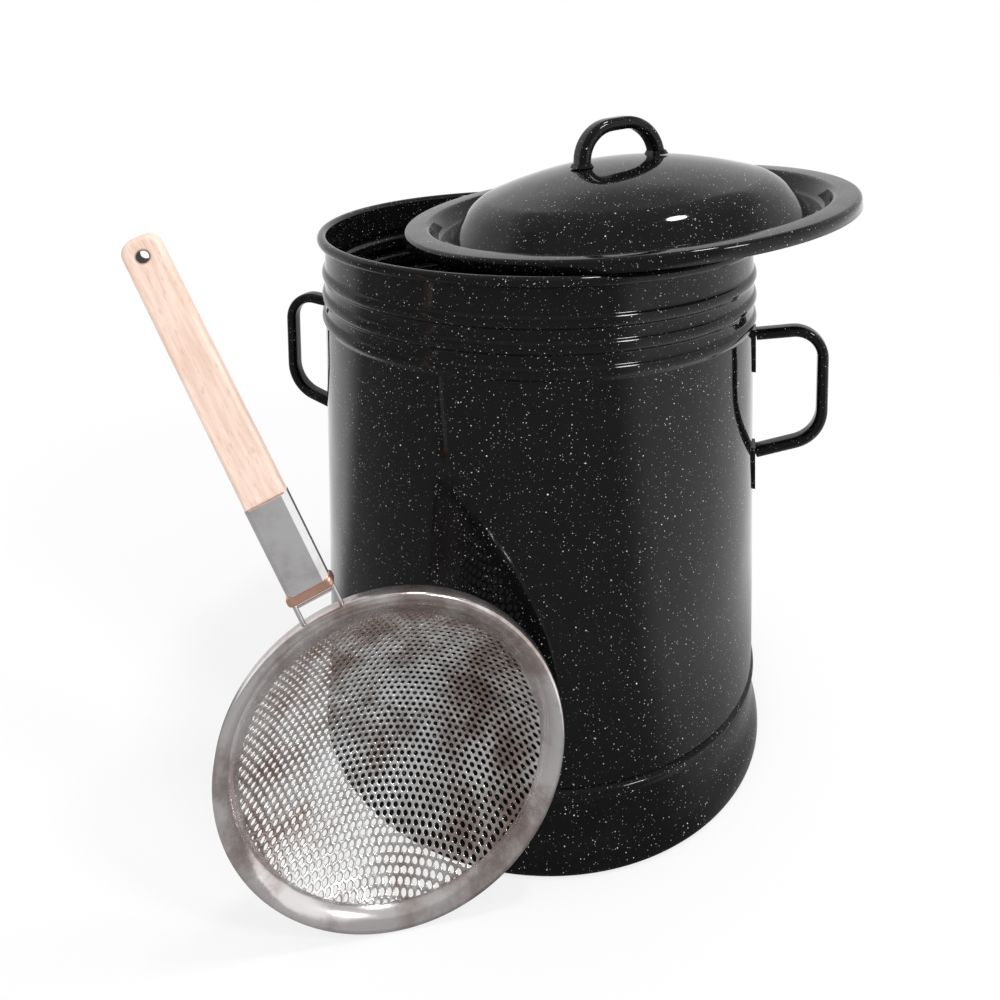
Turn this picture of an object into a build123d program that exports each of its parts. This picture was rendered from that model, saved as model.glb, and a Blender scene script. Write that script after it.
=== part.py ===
"""Tall enamelled grease container with two side handles, a loose domed lid and a perforated strainer.

Millimetres, +Z up. The origin is the centre of the container's flat bottom, and the two side
handles lie along X. The lid stands half open across the mouth. The strainer stands upright on the
edge of its rim, with the back of its bowl against the container's wall.
"""

import os
from math import asin, atan, atan2, cos, degrees, pi, radians, sin, sqrt, tan

from build123d import *

os.makedirs("parts", exist_ok=True)

# ---- Container ----------------------------------------------------------------------------------
container_height = 356.5
container_radius = 154.8  # outside of the plain wall
sheet = 1.6  # enamelled steel
mouth_wire_radius = 1.9

rib_count = 3
rib_pitch = 15.0
rib_height = 8.6
rib_bulge = 2.3
top_rib_drop = 27.6  # from the mouth's crest down to the first rib

seam_height = 50.0  # where the wall stands on the base pan
seam_bead = 1.3  # how far the pan's shoulder stands out from the wall
seam_bead_height = 4.2
lap_height = 9.0  # the pan's edge reaches up inside the wall
foot_flange = 4.4  # how far the foot stands out from the wall
foot_band = 9.0  # height of the widest part of the foot
foot_flare_height = 26.0
foot_round = 4.0

# ---- Side handles -------------------------------------------------------------------------------
grip_reach = 46.0  # from the wall to the middle of the grip
grip_lean = 1.0  # the grip's top stands further out than its foot
upper_limb_drop = 71.5  # from the mouth's crest down to the upper limb's foot
limb_spacing = 83.5  # between the feet of the two limbs
lower_limb_rise = 16.0  # the limbs climb away from the wall
upper_limb_rise = 7.5
lower_bend = 27.0
upper_bend = 17.0
strap_thickness = 7.4
strap_width = 13.0
strap_round = 3.4

weld_foot_thickness = 2.0
weld_foot_width = 19.0
weld_foot_tip_width = 7.0
weld_foot_drop = 27.0
weld_foot_rise = 4.6
weld_foot_round = 1.5

# ---- Lid ----------------------------------------------------------------------------------------
lid_radius = 165.5
lip_depth = 8.5
lip_bend = 3.0
flange_width = 18.5
trough_width = 21.0
trough_floor_width = 10.0
trough_depth = 14.8  # from the flange's top to the trough's underside
trough_bend = 5.0
shoulder_radius = 112.0
shoulder_bend = 20.0
crown_radius = 92.0  # the dome is part of a sphere out to here
dome_sphere_radius = 300.0
dome_rise = 33.0
lid_shift = 65.8
lid_shift_direction = 19.8  # degrees from +X
rest_gap = 0.35

arch_span = 66.0  # between the middles of the arch's feet
arch_height = 31.0
arch_taper = 4.5
arch_bend = 27.0
arch_turn = 40.6  # degrees from +X
arch_thickness = 9.5
arch_width = 15.0
arch_round = 4.0
arch_foot_thickness = 1.4
arch_foot_margin = 0.8  # the foot's top stands out from the strap
arch_foot_flare = 32.0  # degrees that its sides spread towards the dome

# ---- Strainer -----------------------------------------------------------------------------------
strainer_radius = 96.0
strainer_sheet = 0.9
rim_band_width = 11.0
rim_slope = 25.0
skirt_depth = 8.0
rim_wire_radius = 1.5
bowl_depth = 37.0
bowl_lap = 6.0
hole_radius = 2.2
hole_pitch = 11.0
plain_border = 6.0

loop_angles = (-66.0, -23.0, 23.0, 66.0)  # from the point opposite the handle
loop_width = 16.0
loop_depth = 16.0
loop_bend = 6.0
loop_wire_radius = 1.5
weld_gap = 0.1

fork_length = 12.5
fork_spacing = 22.0
fork_wire_radius = 1.25
fork_drop = 4.6
crossbar_radius = 0.8
crossbar_offset = 3.2
collar_length = 5.8
collar_width = 26.5
collar_depth = 11.0
collar_round = 3.4
collar_edge_round = 2.2
ferrule_length = 53.0
ferrule_width = 23.6
ferrule_depth = 10.4
ferrule_corner = 3.0
ferrule_sheet = 0.7
grip_length = 154.0  # beyond the ferrule
grip_width = 22.6
grip_tip_width = 19.6
grip_depth = 9.6
grip_edge_round = 2.2
grip_tip_round = 7.0
hang_hole_radius = 3.0
hang_hole_inset = 9.5

strainer_tilt = 90.0  # the rim's plane against the floor
strainer_facing = 296.4  # degrees from +X that the bowl's mouth looks to
strainer_place = 269.1  # degrees from +X where the bowl's back meets the wall
handle_lean = 23.0  # the handle against the steepest line of the rim's plane
wall_gap = 0.35


def finish(builder, name):
    """Label a finished piece and write its STEP file."""
    builder.part.label = name
    export_step(builder.part, f"parts/{name}.step")


def section_of(plane):
    """The upright plane through a body's own axis, where its profile is drawn."""
    return Plane(plane.origin, x_dir=plane.x_dir, z_dir=-plane.y_dir)


def axis_of(plane):
    """The axis that a body's profile turns about."""
    return Axis(plane.origin, plane.z_dir)


# ---- Container wall and base --------------------------------------------------------------------
wall_inner_radius = container_radius - sheet
mouth_bead_radius = mouth_wire_radius + sheet
mouth_crest_radius = wall_inner_radius + mouth_bead_radius
mouth_bead_height = container_height - mouth_bead_radius
rib_heights = [container_height - top_rib_drop - step * rib_pitch for step in range(rib_count)]


def wall_side(radius):
    """One side of the wall's sheet, from the seam up past the ribs to the mouth."""
    start = (radius, seam_height)
    for rib_middle in reversed(rib_heights):
        rib_foot = (radius, rib_middle - rib_height / 2)
        rib_top = (radius, rib_middle + rib_height / 2)
        Line(start, rib_foot)
        ThreePointArc(rib_foot, (radius + rib_bulge, rib_middle), rib_top)
        start = rib_top
    Line(start, (radius, mouth_bead_height))


with BuildPart() as container_wall:
    with BuildSketch(Plane.XZ):
        with BuildLine():
            wall_side(wall_inner_radius)
            wall_side(container_radius)
            Line((wall_inner_radius, seam_height), (container_radius, seam_height))
            Line((wall_inner_radius, mouth_bead_height), (container_radius, mouth_bead_height))
        make_face()
        with Locations((mouth_crest_radius, mouth_bead_height)):
            Circle(mouth_bead_radius)
            Circle(mouth_wire_radius, mode=Mode.SUBTRACT)
    revolve(axis=Axis.Z)
finish(container_wall, "container_wall")

with BuildPart() as mouth_wire:
    with BuildSketch(Plane.XZ):
        with Locations((mouth_crest_radius, mouth_bead_height)):
            Circle(mouth_wire_radius)
    revolve(axis=Axis.Z)
finish(mouth_wire, "mouth_wire")

foot_radius = container_radius + foot_flange
pan_lap_radius = wall_inner_radius
pan_inner_radius = pan_lap_radius - sheet
bead_reach = container_radius + seam_bead
bead_foot_height = seam_height - seam_bead_height
bead_flat = seam_bead_height / 3

with BuildPart() as base_pan:
    with BuildSketch(Plane.XZ):
        with BuildLine():
            Polyline(
                (0, 0),
                (foot_radius, 0),
                (foot_radius, foot_band),
                (container_radius, foot_flare_height),
                (container_radius, bead_foot_height),
                (bead_reach, bead_foot_height + bead_flat),
                (bead_reach, seam_height - bead_flat),
                (container_radius, seam_height),
                (pan_lap_radius, seam_height),
                (pan_lap_radius, seam_height + lap_height),
                (pan_inner_radius, seam_height + lap_height),
                (pan_inner_radius, sheet),
                (0, sheet),
                close=True,
            )
        make_face()
    revolve(axis=Axis.Z)
    foot_circles = base_pan.edges().filter_by(GeomType.CIRCLE).filter_by_position(Axis.Z, 0, 0)
    fillet(foot_circles.sort_by(SortBy.RADIUS)[-1], foot_round)
finish(base_pan, "base_pan")

# ---- Side handles -------------------------------------------------------------------------------
upper_limb_height = container_height - upper_limb_drop
lower_limb_height = upper_limb_height - limb_spacing
weld_radius = container_radius + weld_foot_thickness
lower_grip_reach = container_radius + grip_reach - grip_lean / 2
upper_grip_reach = container_radius + grip_reach + grip_lean / 2
limb_start = weld_radius - strap_thickness
lower_limb_slope = lower_limb_rise / (lower_grip_reach - weld_radius)
upper_limb_slope = upper_limb_rise / (upper_grip_reach - weld_radius)

for side_name, outward in (("right", 1), ("left", -1)):
    side_plane = Plane((0, 0, 0), x_dir=(0, outward, 0), z_dir=(outward, 0, 0))
    upright_plane = Plane((0, 0, 0), x_dir=(outward, 0, 0), z_dir=(0, -outward, 0))

    with BuildPart() as side_handle:
        with BuildLine(upright_plane) as strap_line:
            FilletPolyline(
                (limb_start, lower_limb_height - strap_thickness * lower_limb_slope),
                (lower_grip_reach, lower_limb_height + lower_limb_rise),
                (upper_grip_reach, upper_limb_height + upper_limb_rise),
                (limb_start, upper_limb_height - strap_thickness * upper_limb_slope),
                radius=(lower_bend, upper_bend),
            )
        strap_start = strap_line.line @ 0
        with BuildSketch(Plane(strap_start, x_dir=(0, 1, 0), z_dir=strap_line.line % 0)):
            RectangleRounded(strap_width, strap_thickness, strap_round)
        sweep(path=strap_line.line)
        Cylinder(weld_radius, 2 * container_height, mode=Mode.SUBTRACT)
    finish(side_handle, f"{side_name}_handle")

    for level_name, limb_height in (("upper", upper_limb_height), ("lower", lower_limb_height)):
        with BuildPart() as weld_foot:
            with BuildSketch(side_plane):
                with BuildLine():
                    Polyline(
                        (-weld_foot_width / 2, limb_height + weld_foot_rise),
                        (weld_foot_width / 2, limb_height + weld_foot_rise),
                        (weld_foot_width / 2, limb_height - weld_foot_rise),
                        (weld_foot_tip_width / 2, limb_height - weld_foot_drop),
                        (-weld_foot_tip_width / 2, limb_height - weld_foot_drop),
                        (-weld_foot_width / 2, limb_height - weld_foot_rise),
                        close=True,
                    )
                make_face()
                fillet(vertices(), weld_foot_round)
            extrude(amount=2 * container_radius)
            Cylinder(weld_radius, 2 * container_height, mode=Mode.INTERSECT)
            Cylinder(container_radius, 2 * container_height, mode=Mode.SUBTRACT)
        finish(weld_foot, f"{side_name}_handle_{level_name}_foot")

# ---- Lid ----------------------------------------------------------------------------------------
flange_inner_radius = lid_radius - flange_width
trough_inner_radius = flange_inner_radius - trough_width
trough_middle = (flange_inner_radius + trough_inner_radius) / 2
floor_outer_radius = trough_middle + trough_floor_width / 2
floor_inner_radius = trough_middle - trough_floor_width / 2
trough_wall_angle = atan2(trough_depth, flange_inner_radius - floor_outer_radius)
trough_rest_radius = floor_outer_radius - trough_bend * tan(trough_wall_angle / 2)
lip_rest_radius = lid_radius - sheet / 2


def crossing(radius):
    """How far along the shift a circle on the lid crosses the crest of the mouth."""
    return (mouth_crest_radius**2 + lid_shift**2 - radius**2) / (2 * lid_shift)


# The trough's floor and the lip's edge both rest on the mouth, which tilts the lid.
trough_rest = crossing(trough_rest_radius)
lip_rest = crossing(lip_rest_radius)
lid_tilt = atan((trough_depth - lip_depth) / (trough_rest - lip_rest))
lid_rise = rest_gap + trough_depth / cos(lid_tilt) - (trough_rest - lid_shift) * tan(lid_tilt)
shift_x = cos(radians(lid_shift_direction))
shift_y = sin(radians(lid_shift_direction))
lid_plane = Plane(
    (lid_shift * shift_x, lid_shift * shift_y, container_height + lid_rise),
    x_dir=(cos(lid_tilt) * shift_x, cos(lid_tilt) * shift_y, sin(lid_tilt)),
    z_dir=(-sin(lid_tilt) * shift_x, -sin(lid_tilt) * shift_y, cos(lid_tilt)),
)
crown_slope = asin(crown_radius / dome_sphere_radius)
dome_middle_radius = dome_sphere_radius - sheet / 2
dome_centre = dome_rise - dome_sphere_radius
crown_edge = (
    dome_middle_radius * sin(crown_slope),
    dome_centre + dome_middle_radius * cos(crown_slope),
)
shoulder_height = crown_edge[1] - (shoulder_radius - crown_edge[0]) * tan(crown_slope)
trough_floor_height = sheet / 2 - trough_depth
lip_middle_radius = lid_radius - sheet / 2

with BuildPart() as lid_shell:
    with BuildSketch(section_of(lid_plane)):
        with BuildLine() as lid_line:
            CenterArc((0, dome_centre), dome_middle_radius, 90, -degrees(crown_slope))
            FilletPolyline(
                crown_edge,
                (shoulder_radius, shoulder_height),
                (floor_inner_radius, trough_floor_height),
                (floor_outer_radius, trough_floor_height),
                (flange_inner_radius, -sheet / 2),
                (lip_middle_radius, -sheet / 2),
                (lip_middle_radius, -lip_depth),
                radius=(shoulder_bend, trough_bend, trough_bend, lip_bend, lip_bend),
            )
        trace(line_width=sheet)
    revolve(axis=axis_of(lid_plane))
finish(lid_shell, "lid_shell")

arch_angle = radians(arch_turn - lid_shift_direction)
arch_plane = Plane(
    lid_plane.origin,
    x_dir=lid_plane.x_dir * cos(arch_angle) + lid_plane.y_dir * sin(arch_angle),
    z_dir=lid_plane.z_dir,
)
arch_foot_top = dome_rise + arch_foot_thickness
arch_top = dome_rise + arch_height - arch_thickness / 2
arch_slope = arch_taper / (arch_top - arch_foot_top)
arch_start_reach = arch_span / 2 + arch_slope * arch_foot_thickness

with BuildPart() as lid_handle:
    with BuildLine(section_of(arch_plane)) as arch_line:
        FilletPolyline(
            (-arch_start_reach, dome_rise),
            (-arch_span / 2 + arch_taper, arch_top),
            (arch_span / 2 - arch_taper, arch_top),
            (arch_start_reach, dome_rise),
            radius=arch_bend,
        )
    arch_start = arch_line.line @ 0
    with BuildSketch(Plane(arch_start, x_dir=arch_plane.y_dir, z_dir=arch_line.line % 0)):
        RectangleRounded(arch_width, arch_thickness, arch_round)
    sweep(path=arch_line.line)
    split(bisect_by=arch_plane.offset(arch_foot_top), keep=Keep.TOP)
finish(lid_handle, "lid_handle")

for foot_name, foot_side in (("right", 1), ("left", -1)):
    with BuildPart() as lid_handle_foot:
        with BuildSketch(arch_plane.offset(arch_foot_top)):
            with Locations((foot_side * arch_span / 2, 0)):
                RectangleRounded(
                    arch_thickness + 2 * arch_foot_margin,
                    arch_width + 2 * arch_foot_margin,
                    arch_round + arch_foot_margin,
                )
        extrude(amount=-2 * arch_foot_thickness, taper=-arch_foot_flare)
        with Locations(arch_plane.offset(dome_centre)):
            Sphere(dome_sphere_radius, mode=Mode.SUBTRACT)
    finish(lid_handle_foot, f"lid_handle_{foot_name}_foot")

# ---- Strainer: its place ------------------------------------------------------------------------
# The rim's wire lies in the roll at the band's outer edge, and the bowl's border laps under the band.
rim_angle = radians(rim_slope)
roll_radius = rim_wire_radius + strainer_sheet / 2
roll_reach = strainer_radius - strainer_sheet - rim_wire_radius
roll_height = -strainer_sheet - rim_wire_radius
band_outer_reach = roll_reach - roll_radius * sin(rim_angle)
band_outer_height = roll_height + roll_radius * cos(rim_angle)
band_inner_reach = band_outer_reach - rim_band_width * cos(rim_angle)
band_inner_height = band_outer_height - rim_band_width * sin(rim_angle)
mouth_reach = band_inner_reach + strainer_sheet * sin(rim_angle)
mouth_height = band_inner_height - strainer_sheet * cos(rim_angle)
bowl_sphere_radius = (mouth_reach**2 + bowl_depth**2) / (2 * bowl_depth)
bowl_centre = mouth_height - bowl_depth + bowl_sphere_radius
bowl_half_turn = degrees(asin(mouth_reach / bowl_sphere_radius))

tilt_angle = radians(strainer_tilt)
facing_angle = radians(strainer_facing)
place_angle = radians(strainer_place)
mouth_direction = Vector(
    sin(tilt_angle) * cos(facing_angle),
    sin(tilt_angle) * sin(facing_angle),
    cos(tilt_angle),
)
steepest = (Vector(0, 0, 1) - mouth_direction * mouth_direction.Z).normalized()
sideways = mouth_direction.cross(steepest)
lean_angle = radians(handle_lean)
handle_direction = steepest * cos(lean_angle) + sideways * sin(lean_angle)
back_reach = container_radius + wall_gap + bowl_sphere_radius + strainer_sheet / 2
skirt_inner_radius = strainer_radius - strainer_sheet
loop_middle_radius = skirt_inner_radius - loop_wire_radius
loop_middle_depth = loop_depth - loop_wire_radius
# It stands on the skirt's edge or on a hook loop, whichever reaches lower.
skirt_foot = strainer_radius * sin(tilt_angle) + skirt_depth * cos(tilt_angle)
loop_foot = (
    loop_middle_radius * sin(tilt_angle) + loop_middle_depth * cos(tilt_angle) + loop_wire_radius
)
rim_height = max(skirt_foot, loop_foot)
rim_centre = Vector(
    back_reach * cos(place_angle) - bowl_centre * mouth_direction.X,
    back_reach * sin(place_angle) - bowl_centre * mouth_direction.Y,
    rim_height,
)
strainer_plane = Plane(rim_centre, x_dir=handle_direction, z_dir=mouth_direction)
strainer_section = section_of(strainer_plane)
strainer_axis = axis_of(strainer_plane)

# ---- Strainer: bowl and rim ---------------------------------------------------------------------
plain_turn = degrees(plain_border / bowl_sphere_radius)
ring_turn = degrees(hole_pitch / bowl_sphere_radius)
ring_count = int((bowl_half_turn - plain_turn) / ring_turn)
hole_places = [Pos(0, 0, bowl_centre - bowl_sphere_radius)]
for ring in range(1, ring_count + 1):
    circle_length = 2 * pi * bowl_sphere_radius * sin(radians(ring * ring_turn))
    hole_count = round(circle_length / hole_pitch)
    for step in range(hole_count):
        turn = Rot(0, 0, 360 * step / hole_count) * Rot(0, -ring * ring_turn, 0)
        hole_places.append(Pos(0, 0, bowl_centre) * turn * Pos(0, 0, -bowl_sphere_radius))

with BuildPart() as strainer_bowl:
    with BuildSketch(strainer_section):
        with BuildLine():
            outside = CenterArc(
                (0, bowl_centre), bowl_sphere_radius + strainer_sheet / 2, -90, bowl_half_turn
            )
            inside = CenterArc(
                (0, bowl_centre), bowl_sphere_radius - strainer_sheet / 2, -90, bowl_half_turn
            )
            Line(outside @ 0, inside @ 0)
            Line(outside @ 1, inside @ 1)
        make_face()
        with BuildLine():
            Line(
                (mouth_reach, mouth_height),
                (mouth_reach + bowl_lap * cos(rim_angle), mouth_height + bowl_lap * sin(rim_angle)),
            )
        trace(line_width=strainer_sheet)
        with Locations((mouth_reach, mouth_height)):
            Circle(strainer_sheet / 2)
    revolve(axis=strainer_axis)
    with Locations(strainer_plane):
        with Locations(*hole_places):
            Cylinder(hole_radius, 4 * strainer_sheet, mode=Mode.SUBTRACT)
finish(strainer_bowl, "strainer_bowl")

with BuildPart() as strainer_rim:
    with BuildSketch(strainer_section):
        with BuildLine():
            Line((band_inner_reach, band_inner_height), (band_outer_reach, band_outer_height))
            CenterArc((roll_reach, roll_height), roll_radius, 90 + rim_slope, -90 - rim_slope)
            Line((roll_reach + roll_radius, roll_height), (roll_reach + roll_radius, -skirt_depth))
        trace(line_width=strainer_sheet)
    revolve(axis=strainer_axis)
finish(strainer_rim, "strainer_rim")

with BuildPart() as strainer_rim_wire:
    with BuildSketch(strainer_section):
        with Locations((roll_reach, roll_height)):
            Circle(rim_wire_radius)
    revolve(axis=strainer_axis)
finish(strainer_rim_wire, "strainer_rim_wire")

# ---- Strainer: hook loops -----------------------------------------------------------------------
loop_half_width = loop_width / 2 - loop_wire_radius
loop_reach = sqrt(loop_middle_radius**2 - loop_half_width**2)
loop_top = roll_height - rim_wire_radius - weld_gap

for number, loop_angle in enumerate(loop_angles, start=1):
    around = radians(180 + loop_angle)
    outwards = strainer_plane.x_dir * cos(around) + strainer_plane.y_dir * sin(around)
    along = strainer_plane.y_dir * cos(around) - strainer_plane.x_dir * sin(around)
    loop_plane = Plane(rim_centre + outwards * loop_reach, x_dir=along, z_dir=outwards)
    with BuildPart() as hook_loop:
        with BuildLine(loop_plane) as loop_line:
            FilletPolyline(
                (-loop_half_width, loop_top),
                (-loop_half_width, -loop_middle_depth),
                (loop_half_width, -loop_middle_depth),
                (loop_half_width, loop_top),
                radius=loop_bend,
            )
        with BuildSketch(Plane(loop_line.line @ 0, z_dir=loop_line.line % 0)):
            Circle(loop_wire_radius)
        sweep(path=loop_line.line)
    finish(hook_loop, f"hook_loop_{number}")

# ---- Strainer: handle ---------------------------------------------------------------------------
collar_start = strainer_radius + fork_length
ferrule_start = collar_start + collar_length
grip_start = ferrule_start + ferrule_length
grip_end = grip_start + grip_length
fork_start = skirt_inner_radius - rim_wire_radius
handle_origin = rim_centre - mouth_direction * fork_drop
handle_plane = Plane(handle_origin, x_dir=handle_direction, z_dir=mouth_direction)


def across_handle(distance):
    """The plane square to the handle, at a distance from the strainer's axis."""
    return Plane(
        handle_origin + handle_direction * distance,
        x_dir=handle_plane.y_dir,
        z_dir=handle_direction,
    )


def fork_section():
    """Both wires of the fork, drawn into the open sketch."""
    with Locations((fork_spacing / 2, 0), (-fork_spacing / 2, 0)):
        Circle(fork_wire_radius)


def ferrule_section():
    """The outside of the flat sleeve, drawn into the open sketch."""
    Rectangle(ferrule_width, ferrule_depth)
    chamfer(vertices(), ferrule_corner)


for wire_name, wire_side in (("right", -1), ("left", 1)):
    with BuildPart() as fork_wire:
        with BuildSketch(across_handle(fork_start)):
            with Locations((wire_side * fork_spacing / 2, 0)):
                Circle(fork_wire_radius)
        extrude(amount=ferrule_start - fork_start)
        with Locations(strainer_plane):
            Cylinder(strainer_radius, 2 * strainer_radius, mode=Mode.SUBTRACT)
    finish(fork_wire, f"fork_wire_{wire_name}")

with BuildPart() as fork_crossbar:
    crossbar_origin = handle_origin + handle_direction * (collar_start - crossbar_offset)
    with BuildSketch(Plane(crossbar_origin, x_dir=handle_direction, z_dir=handle_plane.y_dir)):
        Circle(crossbar_radius)
    extrude(amount=fork_spacing / 2, both=True)
    with BuildSketch(across_handle(fork_start)):
        fork_section()
    extrude(amount=ferrule_start - fork_start, mode=Mode.SUBTRACT)
finish(fork_crossbar, "fork_crossbar")

with BuildPart() as collar:
    with BuildSketch(across_handle(collar_start)):
        RectangleRounded(collar_width, collar_depth, collar_round)
    extrude(amount=collar_length)
    collar_ends = collar.faces().sort_by(Axis(handle_origin, handle_direction))
    fillet(collar_ends[0].edges() + collar_ends[-1].edges(), collar_edge_round)
    with BuildSketch(across_handle(collar_start)):
        fork_section()
    extrude(amount=collar_length, mode=Mode.SUBTRACT)
finish(collar, "collar")

with BuildPart() as ferrule:
    with BuildSketch(across_handle(ferrule_start)):
        ferrule_section()
        offset(amount=-ferrule_sheet, kind=Kind.INTERSECTION, mode=Mode.SUBTRACT)
    extrude(amount=ferrule_length)
finish(ferrule, "ferrule")

with BuildPart() as wooden_grip:
    with BuildSketch(handle_plane):
        with BuildLine():
            Polyline(
                (grip_start, grip_width / 2),
                (grip_end, grip_tip_width / 2),
                (grip_end, -grip_tip_width / 2),
                (grip_start, -grip_width / 2),
                close=True,
            )
        make_face()
        fillet(vertices().sort_by(Axis.X)[-2:], grip_tip_round)
    extrude(amount=grip_depth / 2, both=True)
    broad_faces = wooden_grip.faces().sort_by(axis_of(handle_plane))
    fillet(broad_faces[0].edges() + broad_faces[-1].edges(), grip_edge_round)
    with BuildSketch(handle_plane):
        with Locations((grip_end - hang_hole_inset, 0)):
            Circle(hang_hole_radius)
    extrude(amount=grip_depth, both=True, mode=Mode.SUBTRACT)
    with BuildSketch(across_handle(ferrule_start)):
        ferrule_section()
        offset(amount=-ferrule_sheet, kind=Kind.INTERSECTION)
    extrude(amount=ferrule_length)
finish(wooden_grip, "wooden_grip")
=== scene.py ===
"""Dresses the enamelled grease container, its loose domed lid and its perforated strainer.

Metres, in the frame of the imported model: the origin is the centre of the container's flat bottom,
+Z is up and the side handles lie along X.
"""

from math import acos, asin, atan2, cos, pi, radians, sin, sqrt, tan

import bmesh
import bpy
from mathutils import Matrix, Vector


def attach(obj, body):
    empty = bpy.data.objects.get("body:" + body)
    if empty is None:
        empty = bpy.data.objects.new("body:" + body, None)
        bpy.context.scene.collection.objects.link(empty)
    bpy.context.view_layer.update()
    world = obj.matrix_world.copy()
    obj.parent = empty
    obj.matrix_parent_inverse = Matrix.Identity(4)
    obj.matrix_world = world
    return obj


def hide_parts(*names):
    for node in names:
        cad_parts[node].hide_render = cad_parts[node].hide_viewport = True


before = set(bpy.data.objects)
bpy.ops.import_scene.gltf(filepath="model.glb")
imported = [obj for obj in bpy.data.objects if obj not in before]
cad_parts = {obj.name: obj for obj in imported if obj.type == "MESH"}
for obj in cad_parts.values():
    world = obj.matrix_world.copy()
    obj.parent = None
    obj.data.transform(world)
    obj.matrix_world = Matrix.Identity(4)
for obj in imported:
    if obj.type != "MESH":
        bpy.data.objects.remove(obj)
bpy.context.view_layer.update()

# ---- Sizes --------------------------------------------------------------------------------------
SHEET = 0.0016  # enamelled steel
POT_HEIGHT = 0.3565
POT_RADIUS = 0.1548
MOUTH_BEAD_RADIUS = 0.0035
MOUTH_BEAD_REACH = 0.1567
MOUTH_ROUND = 0.0012
RIB_COUNT = 3
RIB_PITCH = 0.015
RIB_HEIGHT = 0.0086
RIB_BULGE = 0.0023
RIB_SOFTNESS = 0.0011
TOP_RIB_DROP = 0.0276

SEAM_HEIGHT = 0.050
SEAM_BEAD = 0.0013
SEAM_BEAD_HEIGHT = 0.0042
SEAM_GROOVE = 0.0009  # on both sides of the seam's bead
SEAM_GROOVE_WIDTH = 0.0026
SEAM_BEAD_ROUND = 0.0008
GROOVE_LIP_ROUND = 0.0007
GROOVE_FLOOR_ROUND = 0.0004
LAP_HEIGHT = 0.009
LAP_ROUND = 0.0006
FOOT_FLANGE = 0.0044
FOOT_BAND = 0.009
FOOT_FLARE_HEIGHT = 0.026
FOOT_ROUND = 0.004
FLARE_ROUND = 0.006
BOTTOM_ROUND = 0.008  # inside, where the bottom meets the wall

WELD_FOOT_THICKNESS = 0.002
GRIP_REACH = 0.046
GRIP_LEAN = 0.001
LOWER_LIMB_HEIGHT = 0.2015
UPPER_LIMB_HEIGHT = 0.285
LOWER_LIMB_RISE = 0.016
UPPER_LIMB_RISE = 0.0075
LOWER_BEND = 0.027
UPPER_BEND = 0.017
STRAP_THICKNESS = 0.0074
STRAP_WIDTH = 0.013
STRAP_ROUND = 0.0034

LID_RADIUS = 0.1655
LIP_DEPTH = 0.0085
FLANGE_WIDTH = 0.0185
TROUGH_WIDTH = 0.021
TROUGH_FLOOR_WIDTH = 0.010
TROUGH_DEPTH = 0.0148
TROUGH_ROUND = 0.0032
LID_EDGE_ROUND = 0.003
SHOULDER_RADIUS = 0.112
SHOULDER_ROUND = 0.010
CROWN_RADIUS = 0.092
DOME_SPHERE_RADIUS = 0.300
DOME_RISE = 0.033
LID_PLACE = Vector((0.06191, 0.022289, 0.370811))
LID_SHIFT_DIRECTION = radians(19.8)
LID_TILT = radians(5.862)
ARCH_TURN = radians(40.6)
ARCH_SPAN = 0.066
ARCH_HEIGHT = 0.031
ARCH_TAPER = 0.0045
ARCH_BEND = 0.027
ARCH_THICKNESS = 0.0095
ARCH_WIDTH = 0.015
ARCH_ROUND = 0.004
ARCH_SINK = 0.0012  # how deep the arch's ends stand in their feet

RIM_PLACE = Vector((-0.0348465, -0.205851, 0.096))
STRAINER_FACING = radians(296.4)
HANDLE_LEAN = radians(23.0)
STRAINER_RADIUS = 0.096
STRAINER_SHEET = 0.0009
RIM_BAND_WIDTH = 0.011
RIM_SLOPE = radians(25.0)
SKIRT_DEPTH = 0.008
RIM_WIRE_RADIUS = 0.0015
BOWL_DEPTH = 0.037
BOWL_LAP = 0.0035  # how far the bowl's sheet goes on under the rim band
HOLE_PITCH = 0.0040
HOLE_WALL = 0.00078
HOLE_CORNER = 0.00044
GRIP_END = 0.3213
HANG_HOLE_INSET = 0.0095

LATHE_STEPS = 192
SHARP_ANGLE = radians(32)
WELD_DISTANCE = 1e-6  # points closer than this become one


# ---- Places -------------------------------------------------------------------------------------
def placed(origin, x_way, z_way):
    """The matrix that sets a piece drawn about its own origin into the model's frame."""
    y_way = z_way.cross(x_way)
    turned = Matrix((x_way, y_way, z_way)).transposed()
    return Matrix.Translation(origin) @ turned.to_4x4()


lid_shift_way = Vector((cos(LID_SHIFT_DIRECTION), sin(LID_SHIFT_DIRECTION), 0))
lid_up = lid_shift_way * -sin(LID_TILT) + Vector((0, 0, cos(LID_TILT)))
lid_along = lid_shift_way * cos(LID_TILT) + Vector((0, 0, sin(LID_TILT)))
lid_place = placed(LID_PLACE, lid_along, lid_up)
arch_place = lid_place @ Matrix.Rotation(ARCH_TURN - LID_SHIFT_DIRECTION, 4, "Z")

mouth_way = Vector((cos(STRAINER_FACING), sin(STRAINER_FACING), 0))
handle_way = Vector((0, 0, cos(HANDLE_LEAN))) + mouth_way.cross(Vector((0, 0, sin(HANDLE_LEAN))))
strainer_place = placed(RIM_PLACE, handle_way, mouth_way)


# ---- Mesh tools ---------------------------------------------------------------------------------
def round_corners(mesh, corners, size, steps):
    """Rounds corners over a length of each edge that meets there."""
    bmesh.ops.bevel(
        mesh,
        geom=corners,
        offset=size,
        offset_type="OFFSET",
        affect="VERTICES",
        segments=steps,
        profile=0.5,
        material=-1,
    )


def facing_up(mesh):
    """Turns an open sheet over if it faces down on the whole, and returns it."""
    if sum(face.normal.z * face.calc_area() for face in mesh.faces) < 0:
        bmesh.ops.reverse_faces(mesh, faces=mesh.faces)
    return mesh


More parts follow.
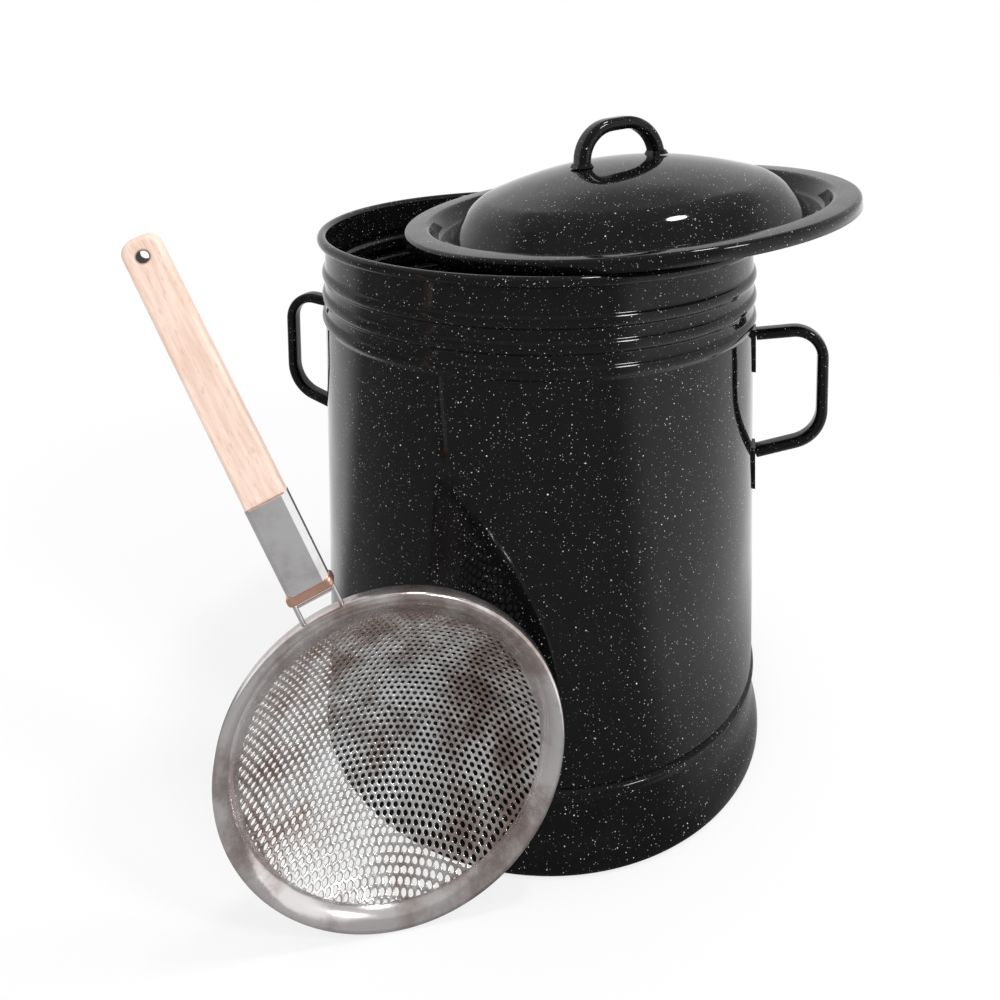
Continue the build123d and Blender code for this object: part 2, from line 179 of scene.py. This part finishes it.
class Outline:
    """A wire in the XZ plane, drawn from point to point, that a lathe turns about Z."""

    def __init__(self, x, z):
        self.mesh = bmesh.new()
        self.start = self.end = self.mesh.verts.new((x, 0, z))
        self.corners = []

    def line(self, x, z, round_size=0.0, round_steps=0):
        """A straight run to a point, whose corner may be rounded over a length of each run."""
        here = self.mesh.verts.new((x, 0, z))
        self.mesh.edges.new((self.end, here))
        self.end = here
        if round_size:
            self.mark(round_size, round_steps)

    def arc(self, centre_x, centre_z, turn, steps):
        """An arc about a centre, with turn positive when it runs from +X towards +Z."""
        made = bmesh.ops.spin(
            self.mesh,
            geom=[self.end],
            cent=(centre_x, 0, centre_z),
            axis=(0, -1, 0),
            angle=turn,
            steps=steps,
        )
        self.end = next(item for item in made["geom_last"] if isinstance(item, bmesh.types.BMVert))

    def mark(self, round_size, round_steps):
        """Has the corner at the last point rounded."""
        self.corners.append((self.end, round_size, round_steps))

    def close(self):
        """Joins the last point to the first."""
        self.mesh.edges.new((self.end, self.start))

    def lathe(self):
        """Rounds the wire's corners and turns it into a surface about Z."""
        for corner, size, steps in self.corners:
            round_corners(self.mesh, [corner], size, steps)
        bmesh.ops.spin(
            self.mesh,
            geom=self.mesh.verts[:] + self.mesh.edges[:],
            cent=(0, 0, 0),
            axis=(0, 0, 1),
            angle=2 * pi,
            steps=LATHE_STEPS,
            use_merge=True,
        )
        bmesh.ops.remove_doubles(self.mesh, verts=self.mesh.verts, dist=WELD_DISTANCE)
        bmesh.ops.recalc_face_normals(self.mesh, faces=self.mesh.faces)
        return self.mesh


class BentBar:
    """A bar of one section: straight lengths are extruded and bends are spun."""

    def __init__(self, width, thickness, edge_round, place):
        self.mesh = bmesh.new()
        made = bmesh.ops.create_grid(self.mesh, x_segments=1, y_segments=1, size=0.5)
        bmesh.ops.scale(self.mesh, vec=(width, thickness, 1), verts=made["verts"])
        round_corners(self.mesh, self.mesh.verts[:], edge_round, 6)
        self.place = place
        bmesh.ops.transform(self.mesh, matrix=place, verts=self.mesh.verts)
        self.ring = self.mesh.faces[:]

    def along(self):
        """The way that the bar's end points."""
        return self.place.to_3x3() @ Vector((0, 0, 1))

    def run(self, distance):
        """A straight length."""
        made = bmesh.ops.extrude_face_region(self.mesh, geom=self.ring, use_keep_orig=True)
        verts = [item for item in made["geom"] if isinstance(item, bmesh.types.BMVert)]
        bmesh.ops.translate(self.mesh, vec=self.along() * distance, verts=verts)
        self._advance(made["geom"], Matrix.Translation(self.along() * distance))

    def bend(self, turn, radius, steps=14):
        """A bend about the section's own width, towards its +Y side when turn is positive."""
        side = self.place.to_3x3() @ Vector((0, 1 if turn > 0 else -1, 0))
        axis = self.along().cross(side)
        centre = self.place.translation + side * radius
        made = bmesh.ops.spin(
            self.mesh, geom=self.ring, cent=centre, axis=axis, angle=abs(turn), steps=steps
        )
        around = Matrix.Translation(centre) @ Matrix.Rotation(abs(turn), 4, axis)
        self._advance(made["geom_last"], around @ Matrix.Translation(-centre))

    def _advance(self, geometry, motion):
        """Takes the new end section as the one that the next length starts from."""
        self.place = motion @ self.place
        self.ring = [item for item in geometry if isinstance(item, bmesh.types.BMFace)]

    def finished(self):
        """The bar's mesh, with its inner sections cleared away."""
        inner = [
            face
            for face in self.mesh.faces
            if all(len(edge.link_faces) > 2 for edge in face.edges)
        ]
        bmesh.ops.delete(self.mesh, geom=inner, context="FACES_ONLY")
        bmesh.ops.remove_doubles(self.mesh, verts=self.mesh.verts, dist=WELD_DISTANCE)
        bmesh.ops.recalc_face_normals(self.mesh, faces=self.mesh.faces)
        return self.mesh


def bent_bar(points, bends, width, thickness, edge_round, place):
    """A bar through flat points, drawn in the XZ plane of its place, with rounded bends."""
    runs = [points[i + 1] - points[i] for i in range(len(points) - 1)]
    headings = [atan2(run.y, run.x) for run in runs]
    turns = [(headings[i + 1] - headings[i] + pi) % (2 * pi) - pi for i in range(len(runs) - 1)]
    cuts = [0.0] + [radius * tan(abs(turn) / 2) for turn, radius in zip(turns, bends)] + [0.0]
    start = place @ Vector((points[0].x, 0, points[0].y))
    ahead = place.to_3x3() @ Vector((cos(headings[0]), 0, sin(headings[0])))
    binormal = place.to_3x3() @ Vector((0, 1, 0))
    bar = BentBar(width, thickness, edge_round, placed(start, binormal, ahead))
    for i, run in enumerate(runs):
        bar.run(run.length - cuts[i] - cuts[i + 1])
        if i < len(turns):
            bar.bend(turns[i], bends[i])
    return bar.finished()


def make_piece(name, mesh, body, material, stands_for=(), place=None):
    """Turns a bmesh into a piece that rides on a body, with soft shading between sharp edges."""
    if place is not None:
        bmesh.ops.transform(mesh, matrix=place, verts=mesh.verts)
    for face in mesh.faces:
        face.smooth = True
    for edge in mesh.edges:
        if len(edge.link_faces) == 2 and edge.calc_face_angle() > SHARP_ANGLE:
            edge.smooth = False
    data = bpy.data.meshes.new(name)
    mesh.to_mesh(data)
    mesh.free()
    data.materials.append(material)
    piece = bpy.data.objects.new(name, data)
    bpy.context.scene.collection.objects.link(piece)
    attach(piece, body)
    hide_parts(*stands_for)
    return piece


def thicken(piece, thickness):
    """Gives a sheet its thickness, behind its outer face."""
    wall = piece.modifiers.new("wall", "SOLIDIFY")
    wall.thickness = thickness
    wall.offset = -1
    wall.use_even_offset = True


# ---- Material tools -----------------------------------------------------------------------------
class Shade:
    """A material being written: sockets are wrapped so that arithmetic adds Math nodes."""

    def __init__(self, name, **shader):
        self.material = bpy.data.materials.new(name)
        self.material.use_nodes = True
        self.tree = self.material.node_tree
        self.surface = self.tree.nodes["Principled BSDF"]
        for socket, value in shader.items():
            self.surface.inputs[socket.replace("_", " ")].default_value = value

    def node(self, kind, settings=None, out=0, **inputs):
        """Adds a node, sets it up, feeds it, and returns one of its outputs."""
        made = self.tree.nodes.new(kind)
        for name, value in (settings or {}).items():
            setattr(made, name, value)
        for name, value in inputs.items():
            key = int(name[1:]) if name[0] == "_" else name.replace("_", " ")
            self.feed(made.inputs[key], value)
        return Value(self, made.outputs[out] if made.outputs else None)

    def feed(self, socket, value):
        """Links a value to a socket, or sets the socket to a number."""
        if isinstance(value, Value):
            self.tree.links.new(value.socket, socket)
        else:
            if isinstance(value, tuple) and len(value) < len(socket.default_value):
                value = (*value, 1)
            socket.default_value = value

    def mix(self, factor, below, above):
        """A colour between two colours."""
        return self.node(
            "ShaderNodeMix", {"data_type": "RGBA"}, out=2, _0=factor, _6=below, _7=above
        )

    def where(self, place=None, scale=(1, 1, 1)):
        """Object coordinates, turned into a piece's own frame and stretched."""
        spot = self.node("ShaderNodeTexCoord", out="Object")
        if place is not None:
            spot = self.node(
                "ShaderNodeMapping",
                {"vector_type": "TEXTURE"},
                Vector=spot,
                Location=place.translation,
                Rotation=place.to_euler(),
            )
        return self.node("ShaderNodeMapping", Vector=spot, Scale=scale)

    def noise(self, spot, scale, detail=2.0, roughness=0.5):
        """Soft noise between 0 and 1."""
        return self.node(
            "ShaderNodeTexNoise", Vector=spot, Scale=scale, Detail=detail, Roughness=roughness
        )

    def bump(self, height, distance, strength=1.0, under=None):
        """A bump over the surface, on top of another where one is given."""
        extra = {} if under is None else {"Normal": under}
        return self.node(
            "ShaderNodeBump", Height=height, Distance=distance, Strength=strength, **extra
        )

    def done(self, **inputs):
        """Feeds the surface and returns the material."""
        for name, value in inputs.items():
            self.feed(self.surface.inputs[name.replace("_", " ")], value)
        return self.material


class Value:
    """A socket that takes part in arithmetic."""

    def __init__(self, shade, socket):
        self.shade = shade
        self.socket = socket

    def other(self, output):
        """Another output of the node that this one belongs to."""
        return Value(self.shade, self.socket.node.outputs[output])

    def math(self, operation, *others):
        """A Math node whose first number is this one."""
        inputs = {f"_{index}": value for index, value in enumerate((self, *others))}
        return self.shade.node("ShaderNodeMath", {"operation": operation}, **inputs)

    def _reflected(self, operation, first):
        """A Math node whose second number is this one."""
        return self.shade.node("ShaderNodeMath", {"operation": operation}, _0=first, _1=self)

    def __add__(self, other):
        return self.math("ADD", other)

    def __radd__(self, other):
        return self._reflected("ADD", other)

    def __sub__(self, other):
        return self.math("SUBTRACT", other)

    def __rsub__(self, other):
        return self._reflected("SUBTRACT", other)

    def __mul__(self, other):
        return self.math("MULTIPLY", other)

    def __rmul__(self, other):
        return self._reflected("MULTIPLY", other)

    def step(self, low, high):
        """0 below low and 1 above high, smooth between."""
        return self.shade.node(
            "ShaderNodeMapRange",
            {"interpolation_type": "SMOOTHSTEP"},
            Value=self,
            From_Min=low,
            From_Max=high,
        )


# ---- Finishes -----------------------------------------------------------------------------------
# How far apart the speckles of a layer are, their size in that spacing, how many of them there are
# and how white they are.
SPECKLES = (
    (0.0023, 0.15, 0.58, 0.85),
    (0.0016, 0.17, 0.56, 0.48),
    (0.0044, 0.10, 0.42, 1.00),
)


def speckled_enamel():
    """Near-black glass enamel with fine white speckles and a slightly uneven flow."""
    shade = Shade("speckled_enamel", Roughness=0.06, IOR=1.34)
    spot = shade.where()
    speckles = None
    for spacing, size, share, glow in SPECKLES:
        cell = shade.node("ShaderNodeTexVoronoi", Vector=spot, Scale=1 / spacing, Randomness=1.0)
        luck = shade.node("ShaderNodeSeparateColor", _0=cell.other("Color"))
        dot = 1 - cell.math("DIVIDE", size * 0.45 + luck.other(1) * size).step(0.5, 1.0)
        kept = dot * luck.step(1 - share, 1.01 - share)
        kept = kept * (glow * 0.35 + luck.other(2) * glow * 0.65)
        speckles = kept if speckles is None else speckles.math("MAXIMUM", kept)
    cluster = shade.noise(spot, 95, 2).step(0.30, 0.62)
    speckles = speckles * (0.55 + cluster * 0.45)
    tint = shade.noise(spot, 60, 3)
    ground = shade.mix(tint, (0.0030, 0.0030, 0.0034), (0.0066, 0.0064, 0.0062))
    colour = shade.mix(speckles, ground, (0.95, 0.95, 0.95))
    flow = shade.bump(shade.noise(spot, 22, 1), 0.0011, 0.5)
    return shade.done(Base_Color=colour, Normal=flow)


def polished_sheet(name, bright, stain_and_dark_reflection, roughness, dimple, wave=0.0009, stain_and_reflection_level=0.70):
    """Bright sheet metal with cloudy rubbing marks, fine dimples and warm patches that are
    partly stains and partly painted dark reflections.

    Roughness is the smoothest and the roughest, dimple how strong the dimples are, wave how deep
    the soft waves are in metres, and the warm patches are whole where their noise is over
    stain_and_reflection_level.
    """
    shade = Shade(name, Metallic=0.86)
    spot = shade.where()
    cloud = shade.noise(spot, 48, 4, 0.62)
    fine = shade.noise(spot, 900, 2)
    smoothest, roughest = roughness
    rough = smoothest + (cloud * 0.7 + fine * 0.3) * (roughest - smoothest)
    # Painted reflection: the warm patches are partly stains, partly painted dark reflections.
    stain_and_reflection_patch = shade.noise(spot, 21, 5, 0.66).step(stain_and_reflection_level - 0.28, stain_and_reflection_level)
    colour = shade.mix(stain_and_reflection_patch, bright, stain_and_dark_reflection)
    waves = shade.bump(shade.noise(spot, 40, 2), wave, 0.5)
    dimples = shade.bump(shade.noise(spot, 260, 2), 0.0003, dimple, under=waves)
    return shade.done(Base_Color=colour, Roughness=rough, Normal=dimples)


enamel = speckled_enamel()
stainless = polished_sheet(
    "stainless_sheet", (1.0, 1.0, 1.0), (0.36, 0.27, 0.24), (0.06, 0.22), 0.7, 0.0058, 0.66
)
rim_steel = polished_sheet(
    "polished_rim", (0.86, 0.82, 0.82), (0.42, 0.33, 0.31), (0.08, 0.22), 0.15
)
brushed_steel = polished_sheet(
    "brushed_steel", (0.92, 0.91, 0.92), (0.66, 0.60, 0.60), (0.24, 0.36), 0.15
)
copper = polished_sheet("copper_wire", (0.86, 0.50, 0.38), (0.58, 0.33, 0.24), (0.24, 0.38), 0.2)


def beech_wood():
    """Pale plain beech, short flecks along the grain, painted shade in and round the hang hole."""
    shade = Shade("pale_beech", IOR=1.45)
    spot = shade.where(strainer_place)
    bands = shade.noise(shade.where(strainer_place, (6, 60, 60)), 5, 4, 0.6)
    flecks = shade.noise(shade.where(strainer_place, (150, 750, 750)), 1.0, 2).step(0.58, 0.70)
    tone = shade.mix(bands.step(0.25, 0.75), (0.80, 0.56, 0.45), (0.93, 0.74, 0.64))
    tone = shade.mix(flecks * 0.32, tone, (0.58, 0.35, 0.25))
    split = shade.node("ShaderNodeSeparateXYZ", _0=spot)
    across = split.other(1)
    from_hole = split - (GRIP_END - HANG_HOLE_INSET)
    reach = (from_hole * from_hole + across * across).math("SQRT")
    # Painted shade: the wood is darkened in and round the hang hole, where the hole lies in shade.
    painted_hole_shade = 1 - reach.step(0.0029, 0.0045)
    tone = shade.mix(painted_hole_shade, tone, (0.030, 0.018, 0.013))
    grain = shade.bump(flecks + bands, 0.0002, 0.25)
    return shade.done(Base_Color=tone, Roughness=0.52 + bands * 0.12, Normal=grain)


beech = beech_wood()


# ---- Container ----------------------------------------------------------------------------------
rib_middles = [POT_HEIGHT - TOP_RIB_DROP - step * RIB_PITCH for step in range(RIB_COUNT)]
rib_arc_radius = (RIB_HEIGHT**2 / 4 + RIB_BULGE**2) / (2 * RIB_BULGE)
rib_half_turn = acos((rib_arc_radius - RIB_BULGE) / rib_arc_radius)
wall_inside = POT_RADIUS - SHEET
bead_middle = POT_HEIGHT - MOUTH_BEAD_RADIUS
bead_entry = MOUTH_BEAD_REACH - POT_RADIUS
bead_drop = sqrt(MOUTH_BEAD_RADIUS**2 - bead_entry**2)

wall = Outline(POT_RADIUS - SEAM_GROOVE, SEAM_HEIGHT)
wall.line(POT_RADIUS, SEAM_HEIGHT + SEAM_GROOVE_WIDTH, GROOVE_LIP_ROUND, 4)
for middle in reversed(rib_middles):
    wall.line(POT_RADIUS, middle - RIB_HEIGHT / 2, RIB_SOFTNESS, 4)
    wall.arc(POT_RADIUS + RIB_BULGE - rib_arc_radius, middle, 2 * rib_half_turn, 8)
    wall.mark(RIB_SOFTNESS, 4)
wall.line(POT_RADIUS, bead_middle - bead_drop, MOUTH_ROUND, 4)
wall.arc(MOUTH_BEAD_REACH, bead_middle, 2 * pi - atan2(bead_drop, bead_entry), 30)
for middle in rib_middles:
    wall.line(wall_inside, middle + RIB_HEIGHT / 2)
    wall.arc(wall_inside + RIB_BULGE - rib_arc_radius, middle, -2 * rib_half_turn, 10)
wall.line(wall_inside, SEAM_HEIGHT)
wall.close()
make_piece(
    "enamel_wall", wall.lathe(), "container", enamel, ("container_wall", "mouth_wire")
)

bead_foot = SEAM_HEIGHT - SEAM_BEAD_HEIGHT
foot = Outline(0, 0)
foot.line(POT_RADIUS + FOOT_FLANGE, 0, FOOT_ROUND, 8)
foot.line(POT_RADIUS + FOOT_FLANGE, FOOT_BAND, FOOT_ROUND, 8)
foot.line(POT_RADIUS, FOOT_FLARE_HEIGHT, FLARE_ROUND, 8)
foot.line(POT_RADIUS, bead_foot - SEAM_GROOVE_WIDTH, GROOVE_LIP_ROUND, 4)
foot.line(POT_RADIUS - SEAM_GROOVE, bead_foot, GROOVE_FLOOR_ROUND, 3)
foot.line(POT_RADIUS + SEAM_BEAD, bead_foot + SEAM_BEAD_HEIGHT / 3, SEAM_BEAD_ROUND, 4)
foot.line(POT_RADIUS + SEAM_BEAD, SEAM_HEIGHT - SEAM_BEAD_HEIGHT / 3, SEAM_BEAD_ROUND, 4)
foot.line(POT_RADIUS - SEAM_GROOVE, SEAM_HEIGHT)
foot.line(wall_inside, SEAM_HEIGHT)
foot.line(wall_inside, SEAM_HEIGHT + LAP_HEIGHT, LAP_ROUND, 3)
foot.line(wall_inside - SHEET, SEAM_HEIGHT + LAP_HEIGHT, LAP_ROUND, 3)
foot.line(wall_inside - SHEET, SHEET, BOTTOM_ROUND, 8)
foot.line(0, SHEET)
make_piece("enamel_foot", foot.lathe(), "container", enamel, ("base_pan",))

weld_radius = POT_RADIUS + WELD_FOOT_THICKNESS
lower_reach = POT_RADIUS + GRIP_REACH - GRIP_LEAN / 2
upper_reach = POT_RADIUS + GRIP_REACH + GRIP_LEAN / 2
lower_corner = Vector((lower_reach, LOWER_LIMB_HEIGHT + LOWER_LIMB_RISE))
upper_corner = Vector((upper_reach, UPPER_LIMB_HEIGHT + UPPER_LIMB_RISE))
lower_root = Vector((weld_radius, LOWER_LIMB_HEIGHT))
upper_root = Vector((weld_radius, UPPER_LIMB_HEIGHT))

for side, turn in (("right", 0.0), ("left", pi)):
    strap = bent_bar(
        (lower_root, lower_corner, upper_corner, upper_root),
        (LOWER_BEND, UPPER_BEND),
        STRAP_WIDTH,
        STRAP_THICKNESS,
        STRAP_ROUND,
        Matrix.Rotation(turn, 4, "Z"),
    )
    make_piece(f"{side}_strap", strap, "container", enamel, (f"{side}_handle",))

# ---- Lid ----------------------------------------------------------------------------------------
trough_outer = LID_RADIUS - FLANGE_WIDTH
trough_inner = trough_outer - TROUGH_WIDTH
trough_middle = (trough_outer + trough_inner) / 2
trough_floor = SHEET - TROUGH_DEPTH
crown_slope = asin(CROWN_RADIUS / DOME_SPHERE_RADIUS)
dome_centre = DOME_RISE - DOME_SPHERE_RADIUS
crown_edge_height = dome_centre + DOME_SPHERE_RADIUS * cos(crown_slope)
crown_edge_reach = DOME_SPHERE_RADIUS * sin(crown_slope)
shoulder_height = crown_edge_height - (SHOULDER_RADIUS - crown_edge_reach) * tan(crown_slope)

lid = Outline(0, DOME_RISE)
lid.arc(0, dome_centre, -crown_slope, 16)
lid.line(SHOULDER_RADIUS, shoulder_height, SHOULDER_ROUND, 14)
lid.line(trough_middle - TROUGH_FLOOR_WIDTH / 2, trough_floor, TROUGH_ROUND, 8)
lid.line(trough_middle + TROUGH_FLOOR_WIDTH / 2, trough_floor, TROUGH_ROUND, 8)
lid.line(trough_outer, 0, LID_EDGE_ROUND, 8)
lid.line(LID_RADIUS, 0, LID_EDGE_ROUND, 8)
lid.line(LID_RADIUS, -LIP_DEPTH)
lid_dome = make_piece(
    "enamel_lid", facing_up(lid.lathe()), "lid", enamel, ("lid_shell",), lid_place
)
thicken(lid_dome, SHEET)

arch_top = DOME_RISE + ARCH_HEIGHT - ARCH_THICKNESS / 2
arch = bent_bar(
    (
        Vector((-ARCH_SPAN / 2, DOME_RISE - ARCH_SINK)),
        Vector((-ARCH_SPAN / 2 + ARCH_TAPER, arch_top)),
        Vector((ARCH_SPAN / 2 - ARCH_TAPER, arch_top)),
        Vector((ARCH_SPAN / 2, DOME_RISE - ARCH_SINK)),
    ),
    (ARCH_BEND, ARCH_BEND),
    ARCH_WIDTH,
    ARCH_THICKNESS,
    ARCH_ROUND,
    arch_place,
)
make_piece("enamel_arch", arch, "lid", enamel, ("lid_handle",))

# ---- Strainer -----------------------------------------------------------------------------------
roll_radius = RIM_WIRE_RADIUS + STRAINER_SHEET / 2
roll_reach = STRAINER_RADIUS - STRAINER_SHEET - RIM_WIRE_RADIUS
roll_height = -STRAINER_SHEET - RIM_WIRE_RADIUS
band_way = Vector((cos(RIM_SLOPE), sin(RIM_SLOPE)))
band_up = Vector((-sin(RIM_SLOPE), cos(RIM_SLOPE)))
band_outer = Vector((roll_reach, roll_height)) + band_up * roll_radius
band_inner = band_outer - band_way * RIM_BAND_WIDTH
mouth_edge = band_inner - band_up * STRAINER_SHEET
bowl_radius = (mouth_edge.x**2 + BOWL_DEPTH**2) / (2 * BOWL_DEPTH)
bowl_middle = mouth_edge.y - BOWL_DEPTH + bowl_radius

half_sheet = band_up * STRAINER_SHEET / 2
rim = Outline(*(band_inner + half_sheet))
rim.line(*(band_outer + half_sheet))
rim.arc(roll_reach, roll_height, -(pi / 2 + RIM_SLOPE), 14)
rim.line(STRAINER_RADIUS, -SKIRT_DEPTH)
rim_band = make_piece(
    "strainer_band",
    facing_up(rim.lathe()),
    "strainer",
    rim_steel,
    ("strainer_rim", "strainer_rim_wire"),
    strainer_place,
)
thicken(rim_band, STRAINER_SHEET)


def perforated_bowl():
    """A honeycomb whose cells are inset and opened, pressed into the bowl's curve."""
    mesh = bmesh.new()
    reach = mouth_edge.x + BOWL_LAP
    row_pitch = HOLE_PITCH * sqrt(3) / 2
    rows = int(reach / row_pitch) + 1
    columns = int(reach / HOLE_PITCH) + 1
    for row in range(-rows, rows + 1):
        y = row * row_pitch
        for column in range(-columns, columns + 1):
            x = (column + (row % 2) / 2) * HOLE_PITCH
            if x * x + y * y > reach * reach:
                continue
            bmesh.ops.create_circle(
                mesh,
                cap_ends=True,
                segments=6,
                radius=HOLE_PITCH / sqrt(3),
                matrix=Matrix.Translation((x, y, 0)),
            )
    bmesh.ops.remove_doubles(mesh, verts=mesh.verts, dist=HOLE_PITCH / 20)
    cells = mesh.faces[:]
    bmesh.ops.inset_individual(mesh, faces=cells, thickness=HOLE_WALL)
    corners = {vert for cell in cells for vert in cell.verts}
    bmesh.ops.delete(mesh, geom=cells, context="FACES_ONLY")
    round_corners(mesh, list(corners), HOLE_CORNER, 1)
    inner_radius = bowl_radius - STRAINER_SHEET / 2
    lap_height = mouth_edge.y + STRAINER_SHEET / 2 / cos(RIM_SLOPE)
    for vert in mesh.verts:
        from_axis = vert.co.xy.length
        cup = bowl_middle - sqrt(inner_radius**2 - from_axis**2)
        vert.co.z = min(cup, lap_height + (from_axis - mouth_edge.x) * tan(RIM_SLOPE))
    bmesh.ops.recalc_face_normals(mesh, faces=mesh.faces)
    return facing_up(mesh)


bowl = make_piece(
    "perforated_bowl",
    perforated_bowl(),
    "strainer",
    stainless,
    ("strainer_bowl",),
    strainer_place,
)
thicken(bowl, STRAINER_SHEET)

# ---- Pieces that stay as they are ---------------------------------------------------------------
finish_of_node = {
    "right_handle_upper_foot": enamel,
    "right_handle_lower_foot": enamel,
    "left_handle_upper_foot": enamel,
    "left_handle_lower_foot": enamel,
    "lid_handle_right_foot": enamel,
    "lid_handle_left_foot": enamel,
    "hook_loop_1": copper,
    "hook_loop_2": copper,
    "hook_loop_3": copper,
    "hook_loop_4": copper,
    "fork_wire_right": brushed_steel,
    "fork_wire_left": brushed_steel,
    "fork_crossbar": brushed_steel,
    "collar": copper,
    "ferrule": brushed_steel,
    "wooden_grip": beech,
}
for node_name, finish in finish_of_node.items():
    for node_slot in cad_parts[node_name].material_slots:
        node_slot.material = finish

# ---- Floor, light and camera --------------------------------------------------------------------
# White paper and white walls, except in front, where the room is left dim.
DIM_WAY = (-0.292, -0.956, 0.0)
DIM_EDGES = (0.16, 0.46)  # how far round it the dimness fades, as cosines
DIM_LEVEL = 0.30
WALL_LEVEL = 0.85
CEILING_LEVEL = 0.42
CEILING_EDGES = (0.56, 0.72)  # the sines of the heights between which the walls end
SKY_SHADE = 0.18  # how much less than white the room lights the object
FLOOR_SIZE = 60.0
FOOT_SHADE = 0.4  # the paper's level under the container, as the enamel mirrors it
FOOT_SHADE_EDGES = (0.16, 0.32)
SHADOW_SHARE = 0.24  # how much of the paper's real light and shadow is seen
SHADOW_EDGES = (0.35, 1.3)


def brightness(shade, way):
    """How bright the surroundings are along a level direction."""
    level = shade.node(
        "ShaderNodeVectorMath", {"operation": "MULTIPLY"}, _0=way, _1=(1.0, 1.0, 0.0)
    )
    level = shade.node("ShaderNodeVectorMath", {"operation": "NORMALIZE"}, _0=level)
    turned = shade.node(
        "ShaderNodeVectorMath", {"operation": "DOT_PRODUCT"}, out="Value", _0=level, _1=DIM_WAY
    )
    return 1 - turned.step(*DIM_EDGES) * (1 - DIM_LEVEL)


def paper_floor():
    """White paper that keeps a soft shadow, and that metal and enamel show."""
    shade = Shade("white_paper", Roughness=0.9, Specular_IOR_Level=0.0)
    spot = shade.where()
    seen = shade.node("ShaderNodeLightPath", out="Is Camera Ray")
    mirrored = seen.other("Is Glossy Ray").math("MAXIMUM", seen.other("Is Transmission Ray"))
    reach = shade.node("ShaderNodeVectorMath", {"operation": "LENGTH"}, out="Value", _0=spot)
    near_foot = FOOT_SHADE + reach.step(*FOOT_SHADE_EDGES) * (1 - FOOT_SHADE)
    shaded = brightness(shade, spot) * near_foot
    strength = 1 - mirrored * (1 - shaded)
    glow = shade.node("ShaderNodeEmission", Color=(1, 1, 1, 1), Strength=strength)
    plain = seen * (1 - SHADOW_SHARE + reach.step(*SHADOW_EDGES) * SHADOW_SHARE)
    share = plain.math("MAXIMUM", mirrored)
    fibres = shade.noise(spot, 300, 2)
    paper = shade.done(Base_Color=shade.mix(fibres, (0.91, 0.91, 0.91), (0.95, 0.95, 0.95)))
    lit = Value(shade, shade.surface.outputs[0])
    blend = shade.node("ShaderNodeMixShader", _0=share, _1=lit, _2=glow)
    shade.feed(shade.tree.nodes["Material Output"].inputs["Surface"], blend)
    return paper


floor_mesh = bmesh.new()
bmesh.ops.create_grid(floor_mesh, x_segments=1, y_segments=1, size=FLOOR_SIZE / 2)
floor_data = bpy.data.meshes.new("floor")
floor_mesh.to_mesh(floor_data)
floor_mesh.free()
floor_data.materials.append(paper_floor())
floor = bpy.data.objects.new("floor", floor_data)
bpy.context.scene.collection.objects.link(floor)


def softbox(name, place, target, size, power):
    """A soft studio lamp that looks at a point."""
    lamp = bpy.data.lights.new(name, "AREA")
    lamp.shape = "ELLIPSE"
    lamp.size, lamp.size_y = size
    lamp.energy = power
    lamp_object = bpy.data.objects.new(name, lamp)
    lamp_object.location = place
    aim = Vector(target) - Vector(place)
    lamp_object.rotation_euler = aim.to_track_quat("-Z", "Y").to_euler()
    bpy.context.scene.collection.objects.link(lamp_object)


softbox("key_softbox", (0.55, -0.05, 2.20), (0, 0, 0.3), (0.34, 0.24), 12)
softbox("side_softbox", (1.28, -0.74, 1.42), (0, 0, 0.2), (0.34, 0.30), 11)

world = bpy.data.worlds.new("studio")
bpy.context.scene.world = world
world.use_nodes = True


class Surroundings(Shade):
    """The world's shader, written with the same tools as a material."""

    def __init__(self, studio):
        self.tree = studio.node_tree
        self.tree.nodes.clear()

    def write(self):
        """White walls, a dimmer ceiling and one dim side, which only mirrors show."""
        glossy = self.node("ShaderNodeLightPath", out="Is Glossy Ray")
        way = self.node("ShaderNodeTexCoord", out="Generated")
        height = self.node("ShaderNodeSeparateXYZ", out="Z", _0=way)
        wall = brightness(self, way) * WALL_LEVEL
        mirrored = wall + (CEILING_LEVEL - wall) * height.step(*CEILING_EDGES)
        dimming = glossy * (1 - mirrored) + glossy.other("Is Diffuse Ray") * SKY_SHADE
        sky = self.node("ShaderNodeBackground", Color=(1, 1, 1, 1), Strength=1 - dimming)
        self.node("ShaderNodeOutputWorld", Surface=sky)


Surroundings(world).write()

CAMERA_PLACE = Vector((0.14366, -0.64131, 0.48432))
CAMERA_AHEAD = Vector((-0.25787, 0.96618, 0)).normalized()
CAMERA_PITCH = radians(2.957)
CAMERA_ROLL = radians(-0.503)
SENSOR_WIDTH = 36.0
LENS_IN_WIDTHS = 0.89265
CAMERA_SHIFT = -0.403
camera = bpy.data.cameras.new("camera")
camera.sensor_width = SENSOR_WIDTH
camera.lens = SENSOR_WIDTH * LENS_IN_WIDTHS
camera.shift_y = CAMERA_SHIFT
camera_object = bpy.data.objects.new("camera", camera)
view_way = CAMERA_AHEAD * cos(CAMERA_PITCH) - Vector((0, 0, sin(CAMERA_PITCH)))
view_right = CAMERA_AHEAD.cross(Vector((0, 0, 1))).normalized()
camera_object.matrix_world = placed(CAMERA_PLACE, view_right, -view_way) @ Matrix.Rotation(
    CAMERA_ROLL, 4, "Z"
)
bpy.context.scene.collection.objects.link(camera_object)
bpy.context.scene.camera = camera_object
bpy.context.scene.view_settings.view_transform = "Standard"
